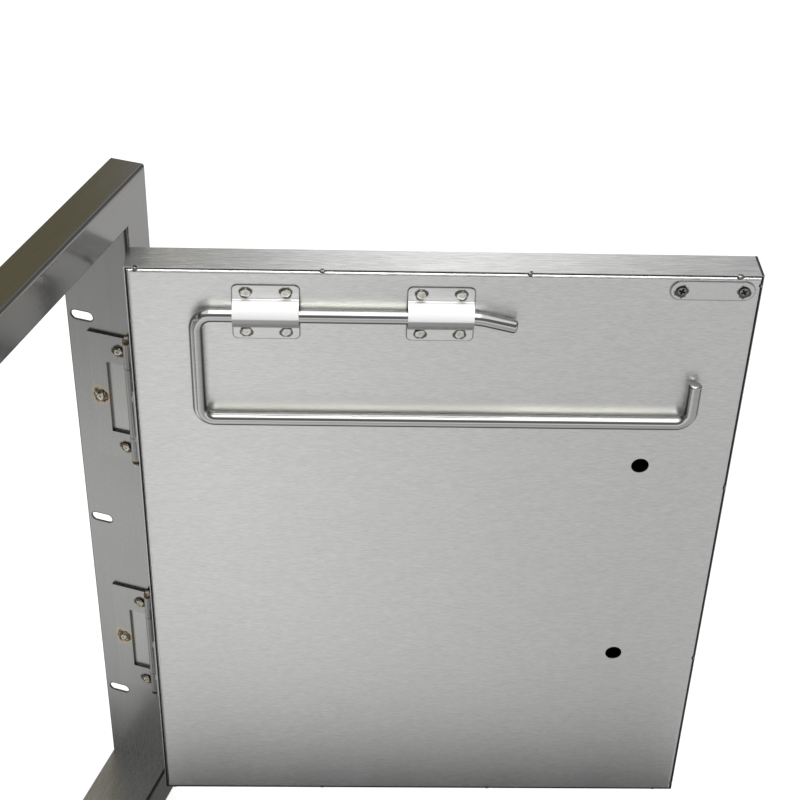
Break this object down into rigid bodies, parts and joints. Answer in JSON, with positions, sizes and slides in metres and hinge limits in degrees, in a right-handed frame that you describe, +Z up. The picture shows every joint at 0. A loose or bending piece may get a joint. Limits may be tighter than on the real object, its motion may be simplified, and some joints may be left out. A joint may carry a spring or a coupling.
{
  "type": "outdoor kitchen door and drawer combo",
  "caption": "Built-in stainless door and drawer unit: framed hinged door with a swinging towel rod inside, beside bar-handled drawers on telescopic slides.",
  "frame": {"origin": "middle of the cut-out's sill, in the plane of the wall that the trim's lip rests on", "axes": "+X to the right seen from the front, +Y to the back into the wall, +Z up"},
  "size_m": [0.9558, 0.9086, 0.558],
  "materials": {
    "frame_sheet": "stainless sheet, long-grain brushed",
    "front_sheet": "stainless sheet, long-grain brushed",
    "liner_sheet": "stainless sheet, fine long-grain brushed",
    "inner_sheet": "stainless sheet, mill finish",
    "hinge_steel": "stainless sheet, satin",
    "handle_steel": "stainless bar, satin",
    "clip_steel": "stainless sheet, bright",
    "polished_rod": "polished bar",
    "fastener_steel": "satin",
    "plated_steel": "zinc plated",
    "plated_slide": "zinc plated",
    "catch_plastic": "matt moulded",
    "magnet": "sintered"
  },
  "bodies": {
    "frame": {"face_trim": "frame_sheet", "right_jamb": "frame_sheet", "left_jamb": "frame_sheet", "head_wall": "frame_sheet", "sill_wall": "frame_sheet", "mullion": "frame_sheet", "upper_hinge_frame_leaf": "hinge_steel", "lower_hinge_frame_leaf": "hinge_steel", "upper_hinge_pin": "fastener_steel", "lower_hinge_pin": "fastener_steel", "hinge_frame_rivets": "fastener_steel", "catch_bracket": "hinge_steel", "catch_housing": "catch_plastic", "catch_magnet": "magnet", "catch_pole_plates": "plated_steel", "catch_screws": "fastener_steel", "cage_left_side": "inner_sheet", "cage_right_side": "inner_sheet", "cage_back": "inner_sheet", "cage_rivets": "fastener_steel", "cabinet_slide_rivets": "fastener_steel", "upper_left_slide_outer": "plated_slide", "upper_right_slide_outer": "plated_slide", "lower_left_slide_outer": "plated_slide", "lower_right_slide_outer": "plated_slide"},
    "door": {"door_pan": "front_sheet", "door_liner": "liner_sheet", "upper_hinge_door_leaf": "hinge_steel", "lower_hinge_door_leaf": "hinge_steel", "hinge_door_rivets": "fastener_steel", "hinge_side_rod_clip": "clip_steel", "free_side_rod_clip": "clip_steel", "rod_clip_rivets": "fastener_steel", "strike_plate": "plated_steel", "strike_screws": "fastener_steel", "door_handle": "handle_steel", "door_handle_screws": "fastener_steel"},
    "towel_rod": {"towel_rod": "polished_rod"},
    "upper_drawer": {"upper_drawer_pan": "front_sheet", "upper_drawer_liner": "liner_sheet", "upper_drawer_tray": "inner_sheet", "upper_drawer_handle": "handle_steel", "upper_drawer_handle_screws": "fastener_steel", "upper_tray_ends": "inner_sheet", "upper_tray_screws": "fastener_steel", "upper_left_slide_inner": "plated_slide", "upper_right_slide_inner": "plated_slide"},
    "upper_slide_middles": {"upper_left_slide_middle": "plated_slide", "upper_right_slide_middle": "plated_slide"},
    "lower_drawer": {"lower_drawer_pan": "front_sheet", "lower_drawer_liner": "liner_sheet", "lower_drawer_tray": "inner_sheet", "lower_drawer_handle": "handle_steel", "lower_drawer_handle_screws": "fastener_steel", "lower_tray_ends": "inner_sheet", "lower_tray_screws": "fastener_steel", "lower_left_slide_inner": "plated_slide", "lower_right_slide_inner": "plated_slide"},
    "lower_slide_middles": {"lower_left_slide_middle": "plated_slide", "lower_right_slide_middle": "plated_slide"}
  },
  "joints": [
    {"name": "door_swing", "type": "hinge", "parent": "frame", "child": "door", "pos_m": [0.3858, -0.018, 0.2502], "axis": [0, 0, 1], "range_deg": [-109, 41]},
    {"name": "towel_rod_swing", "type": "hinge", "parent": "door", "child": "towel_rod", "pos_m": [0.39678, -0.1617, 0.4586], "axis": [-0.3256, 0.9455, 0], "range_deg": [0, 110]},
    {"name": "upper_drawer_slide", "type": "slide", "parent": "frame", "child": "upper_drawer", "axis": [0, -1, 0], "range_m": [0, 0.4]},
    {"name": "upper_middle_slide", "type": "slide", "parent": "frame", "child": "upper_slide_middles", "axis": [0, -1, 0], "range_m": [0, 0.2]},
    {"name": "lower_drawer_slide", "type": "slide", "parent": "frame", "child": "lower_drawer", "axis": [0, -1, 0], "range_m": [0, 0.4]},
    {"name": "lower_middle_slide", "type": "slide", "parent": "frame", "child": "lower_slide_middles", "axis": [0, -1, 0], "range_m": [0, 0.2]}
  ],
  "couplings": [
    {"joint": "upper_middle_slide", "follows": "upper_drawer_slide", "ratio": 0.5},
    {"joint": "lower_middle_slide", "follows": "lower_drawer_slide", "ratio": 0.5}
  ]
}
